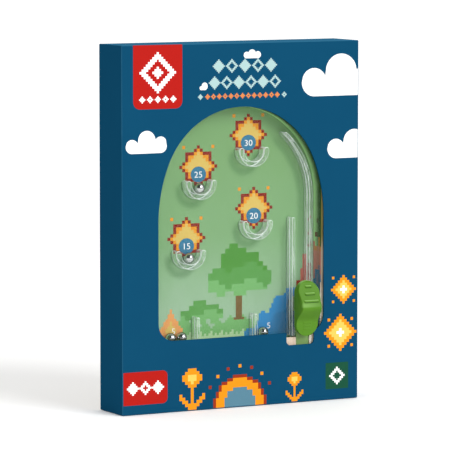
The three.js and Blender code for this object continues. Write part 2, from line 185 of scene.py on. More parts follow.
# Laminated blue card, a touch paler where its folds rub, and its whole top face painted paler still: painted
# light on the top
def blueCardFinish():
    look = {
        "blue": paint(16, 71, 101), "deep": paint(14, 67, 97), "wearAndPaintedLight": paint(52, 112, 144),
        "sideFold": (73.2, -13.15), "topFold": (199.7, -13.1), "top": 199.9,
    }
    finish = Finish("blueCard", specular=0.0)
    cloud = finish.noise(34, 2)
    fibre = finish.noise(0.5, 4)
    blue = finish.blend(cloud, look["deep"], look["blue"])
    (side, sideFront), (top, topFront) = look["sideFold"], look["topFold"]
    fold = (finish.maths("ABSOLUTE", finish.x) > side) * (finish.y < sideFront)
    fold = fold + (finish.z > top) * (finish.y < topFront)
    # Fold wear, plus painted light over the top face
    wearAndTopLight = fold * (finish.noise(6, 3) * 0.5 + 0.25) + (finish.z > look["top"]) * 0.8
    colour = finish.blend(wearAndTopLight, blue, look["wearAndPaintedLight"])
    return finish.complete(colour, fibre * 0.12 + 0.42, (fibre, 0.1, 0.03))


# Bare card: pale pulp with short fibres
def cardFinish(name, pale, dark, fibre=(150, 138, 122)):
    finish = Finish(name, specular=0.25)
    pulp = finish.noise(1.6, 6, 0.7)
    strands = finish.noise(0.35, 3, 0.6, finish.stretched(0.3))
    body = finish.blend(pulp, paint(*dark), paint(*pale))
    colour = finish.blend((strands > 0.64) * 0.35, body, paint(*fibre))
    return finish.complete(colour, pulp * 0.15 + 0.8, (pulp + strands, 0.25, 0.05))


# Pale wood with its grain upright
def woodColour(finish, pale, dark, pore=(196, 152, 104)):
    streaks = finish.noise(2.2, 5, 0.6, finish.stretched(0.05))
    pores = finish.noise(0.35, 2, 0.5, finish.stretched(0.08))
    grain = finish.ramp(streaks, (0.32, paint(*dark)), (0.62, paint(*pale)))
    return finish.blend((pores > 0.62) * 0.3, grain, paint(*pore)), streaks, pores


def woodFinish(name, pale, dark):
    finish = Finish(name, specular=0.4)
    coloured, streaks, pores = woodColour(finish, pale, dark)
    relief = (streaks * 0.5 - pores * 0.5, 0.25, 0.08)
    return finish.complete(coloured, streaks * 0.2 + 0.45, relief)


# Printer's inks, for the carton and the board. The darkest teal stands for painted shade: it is laid behind
# the lane rail beside the knob.
inks = {
    "white": paint(244, 244, 242), "red": paint(172, 32, 27), "mint": paint(165, 194, 193),
    "peach": paint(212, 128, 74), "pine": paint(30, 78, 58), "orange": paint(228, 142, 30),
    "yellow": paint(230, 192, 90), "brick": paint(148, 52, 30), "slate": paint(86, 126, 144),
    "ember": paint(130, 30, 22), "gold": paint(216, 140, 32), "sand": paint(206, 176, 92),
    "disc": paint(54, 113, 146), "leaf": paint(74, 136, 52), "shade": paint(86, 146, 72),
    "meadow": paint(112, 168, 102), "mist": paint(170, 198, 156), "lake": paint(43, 126, 184),
    "deepLake": paint(37, 113, 167), "rose": paint(176, 90, 78), "apricot": paint(218, 150, 88),
    "bark": paint(112, 86, 48), "night": paint(20, 60, 62), "blush": paint(216, 128, 118),
}

# The game's plan: depths, outlines as (half width, bottom, corner), the launcher's slot, the cups' centres
game = {
    "arch": 114.7, "face": -11.2, "floor": -3.6, "boardBack": 0.4, "back": 4.4,
    "recess": (50.5, 36.4, 9), "outside": (59.5, 20, 14),
    "slot": (35.3, 43.7),
    "cups": {
        "cup_30": (9.595, 140.79), "cup_25": (-23.08, 124.0),
        "cup_20": (12.02, 100.5), "cup_15": (-29.59, 85.95),
    },
}


# How far a place lies from the arch's centre, or from the upright middle line below it
def archReach(finish, across=0.0, up=0.0):
    rise = finish.maths("MAXIMUM", finish.z - (game["arch"] + up))
    outwards = finish.node("ShaderNodeCombineXYZ", inputs={0: finish.x - across, 1: rise})
    return finish.vectors("LENGTH", outwards, output="Value")


# The frame's wood. The walls of its recess are painted green, with printed blocks at the lower right. Light
# and shade are painted on too: the green darkens from the board up to the front as painted shade, the wood
# near the recess darkens towards the top as painted shade, and the wood's lower right corner is paler as
# painted light.
def frameFinish():
    look = {
        # the deep and light greens are the wall's painted shade and painted light
        "pale": (214, 197, 180), "dark": (204, 182, 160), "bare": paint(252, 242, 230),
        "ochre": paint(150, 138, 66), "deep": paint(40, 76, 22), "light": paint(186, 238, 162),
        "wall": (50.75, 36.1, -11.0), "spill": (51.0, 66), "coat": (-3.8, -10.0),
        "tinge": (54, 82, 93), "paintedLitAcross": (42.5, 44.5), "paintedLitBelow": (66, 58),
        "blocks": (0.01, 0.0018, 0.0026), "scatter": 28, "printed": (50, 85), "embers": (49, 112),
        "print": [(0.5, "deepLake"), (0.66, "lake"), (0.7, "blush"), (0.82, "blush"), (0.85, "gold")],
    }
    finish = Finish("frameWood", specular=0.25)
    coloured, streaks, pores = woodColour(finish, look["pale"], look["dark"])
    reach = archReach(finish)
    ragged = finish.noise(1.2, 3) * 0.12
    wall, foot, edge = look["wall"]
    painted = (reach < wall) * (finish.z > foot) * ((finish.y + ragged) > edge)
    wall, foot = look["spill"]
    painted = painted + (reach < wall) * (finish.z > foot)
    # Painted shade: the wall's green turns deep towards the front, and so does the lip where the green
    # spills over
    coat = finish.fade(finish.y + finish.noise(5, 4) - 0.5, *look["coat"])
    blocks = finish.vectors("SNAP", finish.place, look["blocks"])
    chance = finish.noise(4, 1, 0.5, blocks) - 0.5
    level = finish.zOf(blocks) * (1 / mm) + chance * look["scatter"]
    right, top = look["embers"]
    embers = (chance > 0.1) * (finish.x > right) * (finish.z < top)
    steps = finish.ramp(level * (1 / 100), *[(stop, inks[ink]) for stop, ink in look["print"]])
    right, top = look["printed"]
    printed = (finish.x > right) * (level < top)
    ground = finish.blend(printed, finish.blend(embers, look["light"], inks["ember"]), steps)
    green = finish.blend(coat * (1 - printed * 0.6), ground, look["deep"])
    # Painted shade on the wood near the recess, darker towards the top
    wall, low, high = look["tinge"]
    tinge = (reach < wall) * finish.fade(finish.z, low, high) * 0.9
    # Painted light: the wood's lower right corner is made paler, as if lit
    corner = finish.fade(finish.x, *look["paintedLitAcross"]) * finish.fade(finish.z, *look["paintedLitBelow"]) * 0.85
    wood = finish.blend(corner, finish.blend(tinge, coloured, look["ochre"]), look["bare"])
    relief = (streaks * 0.5 - pores * 0.5, 0.2, 0.06)
    return finish.complete(finish.blend(painted, wood, green), streaks * 0.2 + 0.42, relief)


# Soft shade below and left of the clear pieces: the launch rail, the lane rail and the cups
def clearShade(finish):
    look = {
        "thrown": (-3.2, -4.5), "arch": (45.3, 3.4, 22, 27), "lane": (34.3, 3.2, 99, 96),
        "cup": (7.7, 3.8), "cupTop": 2, "cupFoot": -5,
    }
    across, up = look["thrown"]
    middle, half, low, high = look["arch"]
    arch = finish.band(archReach(finish, across, up), middle, half) * finish.fade(finish.x, low, high)
    middle, half, low, high = look["lane"]
    lane = finish.band(finish.x, middle + across, half) * finish.fade(finish.z, low, high)
    shade = arch * 0.8 + lane * 0.6
    for x, z in game["cups"].values():
        centre = [value * mm for value in (x + across, game["floor"], z + up)]
        away = finish.vectors("DISTANCE", finish.place, centre, output="Value") * (1 / mm)
        below = finish.fade(finish.z, z + look["cupTop"], z + look["cupFoot"])
        shade = shade + finish.band(away, *look["cup"]) * below
    return shade


# The board's printed ground: darker green above, paler towards the bottom. The darker top is partly print
# and partly painted shade, where the window's top edge shades the board.
def boardFinish():
    look = {
        "upper": paint(112, 153, 98), "middle": paint(117, 158, 109), "lower": paint(144, 175, 145),
        "grain": paint(108, 154, 96), "speck": paint(170, 200, 152), "shade": paint(66, 112, 62),
    }
    finish = Finish("printedBoard", specular=0.2)
    height = (finish.z - 36) * (1 / 128) + (finish.noise(26, 2) - 0.5) * 0.25
    ground = finish.ramp(height, (0.12, look["lower"]), (0.45, look["middle"]), (0.85, look["upper"]))
    grain = finish.noise(1.1, 4, 0.6, finish.stretched(0.06))
    speck = finish.noise(0.4, 2)
    printed = finish.blend((grain > 0.6) * 0.16, ground, look["grain"])
    speckled = finish.blend((speck > 0.64) * 0.14, printed, look["speck"])
    colour = finish.blend(clearShade(finish) * 0.45, speckled, look["shade"])
    return finish.complete(colour, grain * 0.2 + 0.42, (grain, 0.1, 0.03))


# Printer's ink: each face carries its own colour, broken slightly by the ground below
def inkFinish():
    finish = Finish("printInk", specular=0.0)
    ink = finish.node("ShaderNodeAttribute", {"attribute_name": "ink"}, output="Color")
    grain = finish.noise(0.45, 3)
    broken = finish.blend((grain > 0.6) * 0.5, ink, (0.9, 0.9, 0.9, 1.0), "MULTIPLY")
    return finish.complete(broken, grain * 0.15 + 0.42, (grain, 0.08, 0.02))


# The clear plate over the board: almost nothing but gloss
def platePlastic():
    finish = Finish("clearPlate", {"Base Color": paint(150, 176, 160), "IOR": 1.49, "Coat Weight": 0.3})
    haze = finish.noise(18, 3)
    clouded = finish.rim(0.3) * 0.2 + haze * 0.02 + 0.01
    return finish.complete(clouded, haze * 0.05 + 0.03, socket="Alpha")


# Moulded clear plastic: almost nothing, but with painted light. Its rounded edges are painted white as
# highlights, faces that look up are paler as painted light, and pale streaks are painted glints.
def mouldedPlastic():
    look = {"front": (-10.19, -10.12, -9.7, -9.2), "foot": (-4.5, -4.1, -3.8, -3.7)}  # depths of its edges
    finish = Finish("clearMoulding", {"Base Color": paint(236, 246, 243), "IOR": 1.49, "Coat Weight": 0.5})
    gloss, flow = finish.rim(), finish.noise(3.5, 2)
    ends = look["front"], look["foot"]
    # Painted highlights along the rounded front and foot edges
    front, foot = (finish.fade(finish.y, a, b) * finish.fade(finish.y, d, c) for a, b, c, d in ends)
    # Painted light on faces that look up, and painted glints in upright streaks
    lit = finish.fade(finish.upward(), 0.1, 0.9) * 0.3
    streaks = finish.noise(0.9, 1, 0.5, finish.stretched(0.08))
    body = finish.fade(streaks, 0.5, 0.68) * 0.24 + gloss * gloss * 0.3 + lit + 0.02
    clouded = (front * 0.8 + foot * 1.6) * (flow + 0.2) + body
    return finish.complete(clouded, flow * 0.1 + 0.05, (flow, 0.15, 0.1), "Alpha")


# Satin green plastic of the launcher. The knob has a painted highlight on its ridge and on faces that look
# up, such as its ribs' upper sides, and painted shade on its ribs' lower sides.
def greenPlastic(name, light, deep, wearAndPaintedLight=0.0):
    look = {
        # the darkest green is the ribs' painted shade, the palest the painted highlight
        "ridgeBack": (-20.4, -21.6), "ridgeUp": (53.2, 54.4), "ridgeDown": (57.4, 55.0),
        "across": (48, 34), "ribsFrom": 56, "groove": paint(34, 74, 18), "crest": paint(150, 194, 112),
    }
    finish = Finish(name, specular=0.14)
    flow = finish.noise(9, 2)
    fine = finish.noise(0.25, 3)
    upward = finish.upward()
    # Painted highlight on the ridge's top and on faces that look up; painted shade on the ribs' lower sides
    ridge = finish.fade(finish.y, *look["ridgeBack"]) * finish.fade(finish.z, *look["ridgeUp"])
    ridge = ridge * finish.fade(finish.z, *look["ridgeDown"]) * finish.fade(finish.x, *look["across"])
    crest = ridge * 0.4 + finish.fade(upward, 0.6, 0.9)
    paintedRibShade = finish.fade(upward, 0.1, -0.4) * (finish.z > look["ribsFrom"])
    tone = finish.blend(flow, paint(*deep), paint(*light))
    tone = finish.blend(paintedRibShade * wearAndPaintedLight, tone, look["groove"])
    colour = finish.blend(crest * wearAndPaintedLight, tone, look["crest"])
    return finish.complete(colour, flow * 0.1 + 0.4, (fine, 0.1, 0.02))


# Bare metal: polished balls, drawn wire and plated screws differ in tone and in their scratches. The balls'
# rims are painted dark, a painted reflection.
def metalFinish(name, tone, smoothness, scratch, rim=0.0):
    finish = Finish(name, {"Metallic": 1.0})
    scuffs = finish.noise(scratch, 5, 0.65)
    bright = paint(*tone)
    dull = [channel * 0.82 for channel in bright[:3]] + [1.0]
    # Painted reflection: a dark rim where the face turns away
    edge = finish.fade(finish.rim(), 0.25, 0.75) * rim
    colour = finish.blend(edge, finish.blend(scuffs, bright, dull), paint(78, 70, 56))
    roughness = scuffs * smoothness + smoothness * 0.5
    return finish.complete(colour, roughness, (scuffs, 0.05, 0.02))


finishes = {
    "blueCard": blueCardFinish(),
    "greyCard": cardFinish("greyCard", (214, 207, 194), (184, 175, 160)),
    "cutCard": cardFinish("cutCard", (226, 220, 208), (204, 196, 182)),
    "frame": frameFinish(),
    "panel": woodFinish("panelWood", (226, 196, 152), (204, 168, 122)),
    "board": boardFinish(),
    "ink": inkFinish(),
    "plate": platePlastic(),
    "moulding": mouldedPlastic(),
    "green": greenPlastic("greenPlastic", (84, 132, 32), (75, 122, 26), 0.8),
    "paleGreen": greenPlastic("slideGreen", (128, 160, 98), (114, 148, 86)),
    "ball": metalFinish("ballSteel", (214, 214, 217), 0.04, 2.0, 0.9),
    "wire": metalFinish("springWire", (190, 190, 194), 0.25, 0.8),
    "plated": metalFinish("platedScrew", (206, 202, 188), 0.3, 0.6),
}
print("finishes mixed:", len(finishes))


def turnsTo(end, steps, start=0):
    return [math.radians(start + (end - start) * i / steps) for i in range(steps + 1)]


# Outlines are lists of (x, z), anticlockwise seen from the front
def arc(centreX, centreZ, radius, start, end, steps):
    turns = turnsTo(end, steps, start)
    return [(centreX + radius * math.cos(t), centreZ + radius * math.sin(t)) for t in turns]


def roundedFoot(left, right, bottom, corner, steps):
    turns = arc(left + corner, bottom + corner, corner, 180, 270, steps)
    return turns + arc(right - corner, bottom + corner, corner, 270, 360, steps)


# An outline of the game's plan, grown outwards
def grown(plan, grow=0.0):
    radius, bottom, corner = game[plan]
    radius, bottom, corner = radius + grow, bottom - grow, corner + grow
    return roundedFoot(-radius, radius, bottom, corner, 10) + arc(0, game["arch"], radius, 0, 180, 96)


def softRectangle(left, right, bottom, top, corner, steps=4):
    return (
        roundedFoot(left, right, bottom, corner, steps)
        + arc(right - corner, top - corner, corner, 0, 90, steps)
        + arc(left + corner, top - corner, corner, 90, 180, steps)
    )


# Moves an outline inwards, each corner along the line between its two sides
def inset(outline, distance):
    moved = []
    for i, (x, z) in enumerate(outline):
        before, after = Vector(outline[i - 1]), Vector(outline[(i + 1) % len(outline)])
        here = Vector((x, z))
        first, second = (here - before).normalized(), (after - here).normalized()
        inward = Vector((-first.y - second.y, first.x + second.x))
        reach = max(inward.length_squared / 2, 0.4)
        moved.append((x + inward.x * distance / reach, z + inward.y * distance / reach))
    return moved


def atDepth(outline, y):
    return [(x, y, z) for x, z in outline]


# The points of a rounded edge as (step sideways, depth), from the face round to the wall
def roundedEdge(radius, face, wayIn, wayBack, steps=3):
    wayIn, wayBack = wayIn * radius, wayBack * radius
    return [(wayIn * (1 - math.sin(t)), face + wayBack * (1 - math.cos(t))) for t in turnsTo(90, steps)]


def putInScene(name, data):
    made = bpy.data.objects.new(name, data)
    bpy.context.scene.collection.objects.link(made)
    return made


def makePiece(name, points, faces, finish):
    mesh = bpy.data.meshes.new(name)
    mesh.from_pydata([[value * mm for value in point] for point in points], [], faces)
    mesh.validate()
    piece = putInScene(name, mesh)
    mesh.materials.append(finishes[finish])
    return piece


def smooth(piece, upTo=35):
    piece.data.shade_smooth()
    piece.data.set_sharp_from_angle(angle=math.radians(upTo))
    return piece


# Merges points that coincide and turns every face to look outwards
def tidyMesh(piece):
    work = bmesh.new()
    work.from_mesh(piece.data)
    bmesh.ops.remove_doubles(work, verts=work.verts, dist=0.0001 * mm)
    bmesh.ops.recalc_face_normals(work, faces=work.faces)
    work.to_mesh(piece.data)
    work.free()


def evenShading(piece):
    piece.modifiers.new("evenShading", "WEIGHTED_NORMAL").keep_sharp = True
    return piece


# Rings of points joined in order. Both ends are closed, or the rings are joined in a loop, or the last
# ring stays open because its points meet in a line.
def loft(name, rings, finish, ends="closed", smoothUpTo=35):
    count = len(rings[0])
    points = [point for ring in rings for point in ring]
    faces = []
    for i in range(len(rings) if ends == "joined" else len(rings) - 1):
        beyond = (i + 1) % len(rings) * count
        for k in range(count):
            after = (k + 1) % count
            faces.append((i * count + k, i * count + after, beyond + after, beyond + k))
    if ends != "joined":
        faces.append(tuple(reversed(range(count))))
    if ends == "closed":
        faces.append(tuple(range(len(points) - count, len(points))))
    piece = makePiece(name, points, faces, finish)
    tidyMesh(piece)
    return smooth(piece, smoothUpTo)


# A slab cut to an outline, with both long edges rounded off
def slab(name, outline, front, back, rounding, finish, steps=3):
    edges = roundedEdge(rounding, front, 1, 1, steps) + roundedEdge(rounding, back, 1, -1, steps)[::-1]
    return loft(name, [atDepth(inset(outline, inwards), y) for inwards, y in edges], finish)


# Applies a boolean and throws the tool away
def carve(piece, tool, operation="DIFFERENCE"):
    step = piece.modifiers.new("carve", "BOOLEAN")
    step.operation, step.object, step.solver = operation, tool, "EXACT"
    bpy.context.view_layer.update()
    graph = bpy.context.evaluated_depsgraph_get()
    made = bpy.data.meshes.new_from_object(piece.evaluated_get(graph), depsgraph=graph)
    piece.modifiers.remove(step)
    old, piece.data = piece.data, made
    bpy.data.meshes.remove(old)
    bpy.data.objects.remove(tool)
    return smooth(piece)


def prism(outline, front, back):
    return loft("tool", [atDepth(outline, front), atDepth(outline, back)], "greyCard")


def settle(piece, body, slot, *nodes):
    if nodes:
        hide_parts(*nodes)
    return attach(piece, body)


carton = {"card": 0.8, "fold": 0.55, "inner": 0.2, "side": 73.5, "height": 200, "front": -13.5, "back": 13.5}


# A tray of card: a panel at the closed end, four walls and soft folds between them
def cardTray(name, gap, closedY, openY, finish):
    card, fold = carton["card"], carton["fold"]
    side, bottom, top = carton["side"] - gap, gap, carton["height"] - gap
    inner = softRectangle(-side + card, side - card, bottom + card, top - card, carton["inner"])
    outer = softRectangle(-side, side, bottom, top, fold)
    rings = [atDepth(inner, closedY + card), atDepth(inner, openY), atDepth(outer, openY)]
    for turn in turnsTo(90, 4):
        grow = fold * (1 - math.cos(turn))
        ring = softRectangle(-side + grow, side - grow, bottom + grow, top - grow, max(fold - grow, 0.05))
        rings.append(atDepth(ring, closedY + fold * (1 - math.sin(turn))))
    return loft(name, rings, finish)


# The window: an arch with gentle haunches, whose bottom edge drops to a notch for the launcher.
# All of its cut edge lies within a reach, across and up, from the middle of the carton.
window = {
    "radius": 51.5, "springing": 103.2, "haunch": 31.7, "rise": 13.1, "bottom": 39.1, "corner": 9.5,
    "notchLeft": 27.9, "notchRight": 45.3, "notchBottom": 32.2, "notchCorner": 2.5, "within": (60, 80),
}


def windowOutline():
    plan = window
    side = plan["radius"] - plan["corner"]
    cornerZ = plan["bottom"] + plan["corner"]
    meet = -math.degrees(math.acos((plan["notchRight"] - side) / plan["corner"]))
    haunchRadius = plan["radius"] + plan["haunch"]
    crown = haunchRadius - math.hypot(plan["haunch"], plan["rise"])
    turn = math.degrees(math.atan2(plan["rise"], plan["haunch"]))
    return (
        roundedFoot(plan["notchLeft"], plan["notchRight"], plan["notchBottom"], plan["notchCorner"], 8)
        + arc(side, cornerZ, plan["corner"], meet, 0, 10)
        + arc(-plan["haunch"], plan["springing"], haunchRadius, 0, turn, 20)
        + arc(0, plan["springing"] + plan["rise"], crown, turn, 180 - turn, 80)[1:-1]
        + arc(plan["haunch"], plan["springing"], haunchRadius, 180 - turn, 180, 20)
        + arc(-side, cornerZ, plan["corner"], 180, 270, 12)
        + [(plan["notchLeft"], plan["bottom"])]
    )


# Which faces of the cover are blue: those that look out of the carton, and the window's cut edge
def isPrinted(face):
    half, hem, lean, (across, up) = carton["height"] / 2, 0.6, 0.3, window["within"]
    x, z = face.center.x / mm, face.center.z / mm - half
    inWindow = abs(x) < across and abs(z) < up and abs(face.normal.y) < 0.5
    outwardX = abs(x) > carton["side"] - hem and x * face.normal.x > lean * abs(x)
    outwardZ = abs(z) > half - hem and z * face.normal.z > lean * abs(z)
    return face.normal.y < -lean or outwardX or outwardZ or inWindow


def makeCover():
    cover = cardTray("boxCover", 0, carton["front"], carton["back"], "cutCard")
    carve(cover, prism(windowOutline(), carton["front"] - 2, carton["front"] + 2))
    cover.data.materials.append(finishes["blueCard"])
    for face in cover.data.polygons:
        if isPrinted(face):
            face.material_index = 1
    return settle(evenShading(cover), "cover", "printed_card", "box_cover")


makeCover()
print("cover folded and cut")


# The cradle: a tray with an arched well sunk into its panel. Its walls are given by how far their inner
# side, their middle and their outer side lie outside the game.
cradle = {"gap": 2.2, "face": -5.0, "lip": -4.8, "well": (4.7, 5.5), "back": 12.4, "walls": (0.3, 0.7, 1.1)}


def makeInsert():
    face, lip, (floor, under) = cradle["face"], cradle["lip"], cradle["well"]
    insert = cardTray("boxInsert", cradle["gap"], face, cradle["back"], "greyCard")
    inner, middle, outer = (grown("outside", wall) for wall in cradle["walls"])
    carve(insert, prism(middle, face - 2, face + 3))
    rings = [atDepth(inner, floor), atDepth(inner, lip), atDepth(inset(inner, -0.25), face)]
    rings += [atDepth(inset(outer, 0.2), face), atDepth(outer, lip), atDepth(outer, under)]
    carve(insert, loft("well", rings, "greyCard"), "UNION")
    return settle(evenShading(insert), "base", "plain_card", "box_insert")


# A CAD node that stays gets its new finish and slightly broken edges
def dress(node, finish, edge):
    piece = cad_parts[node]
    piece.data.materials.clear()
    piece.data.materials.append(finishes[finish])
    soften = piece.modifiers.new("softEdges", "BEVEL")
    soften.width, soften.segments, soften.limit_method = edge * mm, 2, "ANGLE"
    evenShading(smooth(piece))


makeInsert()
dress("box_base", "greyCard", 0.15)
print("base and cradle folded")


# Blender's own typeface, made to look like the photograph's figures
typeface = {"size": 1.37, "wide": 1.12, "thinner": -0.02, "steps": 4}


# Printing is laid on as thin slabs, each face with its ink
class Print:
    def __init__(self, name, ground):
        self.name, self.ground = name, ground
        self.points, self.faces, self.inks = [], [], []

    def addSolid(self, points, faces, ink):
        start = len(self.points)
        self.points += points
        self.faces += [[start + k for k in face] for face in faces]
        self.inks += [ink] * len(faces)

    # Two like rings of points, joined all round and closed at both ends
    def addBlock(self, near, far, ink):
        count = len(near)
        sides = [(k, count + k, count + (k + 1) % count, (k + 1) % count) for k in range(count)]
        caps = [tuple(range(count)), tuple(reversed(range(count, 2 * count)))]
        self.addSolid(near + far, sides + caps, ink)

    # A shape of one colour, raised so far above the card
    def shape(self, outline, ink, low=0.0, high=0.03):
        self.addBlock(atDepth(outline, self.ground - high), atDepth(outline, self.ground - low), ink)

    # Squares of a stepped figure: {(column, row): ink}, counted from a centre, in pitches
    def squares(self, centreX, centreZ, pitch, cells, low=0.0, high=0.03):
        corners = {}

        def corner(place, raised):
            if (place, raised) not in corners:
                corners[place, raised] = len(self.points)
                x, z = (centre + (step - 0.5) * pitch for centre, step in zip((centreX, centreZ), place))
                self.points.append((x, self.ground - (high if raised else low), z))
            return corners[place, raised]

        for (i, k), ink in cells.items():
            square = [(i, k), (i + 1, k), (i + 1, k + 1), (i, k + 1)]
            beside = [(i, k - 1), (i + 1, k), (i, k + 1), (i - 1, k)]
            faces = [[corner(place, True) for place in square]]
            faces.append([corner(place, False) for place in reversed(square)])
            for here, after, neighbour in zip(square, square[1:] + square[:1], beside):
                if neighbour not in cells:
                    foot = [corner(here, False), corner(after, False)]
                    faces.append(foot + [corner(after, True), corner(here, True)])
            self.faces += faces
            self.inks += [ink] * len(faces)

    # Plain figures, centred
    def figures(self, words, centreX, centreZ, height, ink, low, high):
        curve = bpy.data.curves.new("figures", "FONT")
        curve.body, curve.size, curve.align_x = words, height * typeface["size"], "CENTER"
        curve.resolution_u, curve.offset = typeface["steps"], typeface["thinner"]
        curve.extrude = (high - low) / 2
        maker = bpy.data.objects.new("figures", curve)
        flat = bpy.data.meshes.new_from_object(maker)
        middle = self.ground - (low + high) / 2
        spots, foot, wide = [v.co for v in flat.vertices], centreZ - height / 2, typeface["wide"]
        points = [(centreX + spot.x * wide, middle - spot.z, foot + spot.y) for spot in spots]
        self.addSolid(points, [list(face.vertices) for face in flat.polygons], ink)
        bpy.data.meshes.remove(flat)
        bpy.data.objects.remove(maker)
        bpy.data.curves.remove(curve)

    def make(self, body, slot):
        piece = smooth(makePiece(self.name, self.points, self.faces, "ink"), 10)
        shades = piece.data.color_attributes.new("ink", "FLOAT_COLOR", "CORNER")
        for face, ink in zip(piece.data.polygons, self.inks):
            for k in face.loop_indices:
                shades.data[k].color = inks[ink]
        return settle(piece, body, slot)


# Stepped figures are sets of (column, row). A stack gives half widths from its lowest row up.
def stack(halfWidths, lowest=0):
    return {(i, lowest + k) for k, half in enumerate(halfWidths) for i in range(-half, half + 1)}


def diamond(half):
    reach = range(-half, half + 1)
    return {(i, k) for i in reach for k in reach if abs(i) + abs(k) <= half}


def lobes(*discs):
    span = range(-30, 31)
    return {(i, k) for i in span for k in span if any(math.hypot(i - x, k - z) <= r for x, z, r in discs)}


# Inks a figure in bands, each starting so many steps in from its border
def banded(cells, *bands):
    inked, left, depth = {}, set(cells), 0
    while left:
        border = {(i, k) for i, k in left if not {(i + 1, k), (i - 1, k), (i, k + 1), (i, k - 1)} <= left}
        ink = [name for start, name in bands if depth >= start][-1]
        inked.update((place, ink) for place in border)
        left -= border
        depth += 1
    return inked


def doubled(cells):
    return {(2 * i + a, 2 * k + b) for i, k in cells for a in (0, 1) for b in (0, 1)}


def shifted(cells, columns, rows):
    return {(i + columns, k + rows): ink for (i, k), ink in cells.items()}


# Full and hollow diamonds by turns, in a row
def diamondRow(page, centreX, z, count, spacing, size, half, ink, low=0.0, high=0.03):
    for k in range(count):
        cells = diamond(half) - (diamond(half - 2) if k % 2 else set())
        page.squares(centreX + (k - (count - 1) / 2) * spacing, z, size, banded(cells, (0, ink)), low, high)


# A cloud: round tops on a flat foot, cut off where the card ends
def cloudOutline(left, foot, rounds, steps=48, limit=72.9):
    first, last = rounds[0], rounds[-1]
    start, end = left + first[0] - first[1], min(left + last[0] + last[1], limit)

    def top(x):
        spans = [(x - left - at, radius, lift) for at, radius, lift in rounds]
        under = [span for span in spans if abs(span[0]) <= span[1]]
        return foot + max(lift + radius + math.sqrt(radius ** 2 - off ** 2) for off, radius, lift in under)

    upper = [end - (end - start) * i / steps for i in range(steps + 1)]
    outline = arc(left + first[0], foot + first[1], first[1], 180, 270, 8)
    if end < limit:
        outline += arc(left + last[0], foot + last[1], last[1], 270, 360, 8)
        upper = upper[1:]
    else:
        outline.append((limit, foot))
    return outline + [(x, top(x)) for x in upper[:-1]]


# The tab at the top runs on over the front fold
def foldedTab(page, left, right, bottom, corner, ink, ply=0.03):
    fold, top = carton["fold"], carton["height"]
    page.shape(roundedFoot(left, right, bottom, corner, 8) + [(right, top - fold), (left, top - fold)], ink)
    y, z, turns = page.ground + fold, top - fold, turnsTo(66, 5)
    profile = [(y - (fold + ply) * math.cos(t), z + (fold + ply) * math.sin(t)) for t in turns]
    profile += [(y - fold * math.cos(t), z + fold * math.sin(t)) for t in reversed(turns)]
    ends = ([(x, *place) for place in profile] for x in (right, left))
    page.addBlock(*ends, ink)


# The front's print. Grounds are (left, right, bottom, top, corner), and marks have a centre and a pitch.
# Rows have a centre, a count, a spacing, a pitch and a half width. Clouds have their left end, their foot
# and their rounds: place along the foot, radius and lift.
frontArt = {
    "tab": (-66.6, -36.9, 165.5, 4.0),  # it has no top of its own
    "tabMark": (-51.75, 185.0, 1.3), "tabRow": (-51.75, 170.6, 5, 4.7, 0.75, 2),
    "badge": (-72.93, -46.2, 5.4, 23.4, 2.9), "badgeRow": (-59.6, 14.4, 3, 7.6, 1.05, 3),
    "stamp": (52.8, 67.4, 6.0, 20.8, 0.3), "stampMark": (60.1, 13.4, 1.1),
    "rows": [
        (1.7, 187.6, 5, 8.1, 0.83, 4, "mint"), (1.7, 178.6, 6, 7.52, 0.8, 4, "mint"),
        (0.2, 171.2, 13, 3.6, 0.62, 2, "peach"), (0.2, 171.2, 2, 52, 0.62, 2, "mint"),
    ],
    "clouds": [
        (37.1, 169.6, [(8.0, 7.8, 0), (25.2, 9.9, 3.4), (43.3, 8.6, 2.0)]),
        (53.5, 134.9, [(5.5, 5.4, 0), (17.3, 7.0, 1.9)]),
        (-71.4, 141.7, [(4.0, 3.8, 0), (12.9, 5.2, 1.8), (21.3, 3.7, 1.5)]),
        (0.8, 191.5, [(1.9, 1.8, 0), (5.3, 2.4, 0), (8.9, 1.9, 0)]),
        (-26.4, 174.9, [(1.2, 1.1, 0), (3.2, 1.8, 0.5)]),
    ],
    "sun": (-1.4, 1.4, 1.75), "sunReach": 9.4, "sparkReach": 21.4, "sparkPitch": 1.8,
    "flowers": [(-31.0, 1.4, 1.75), (33.0, 1.4, 1.25)],
    "stars": [(64.2, 61.5, 1.45, 5), (62.2, 37.5, 1.6, 6)], "starSpark": 4.6,
}


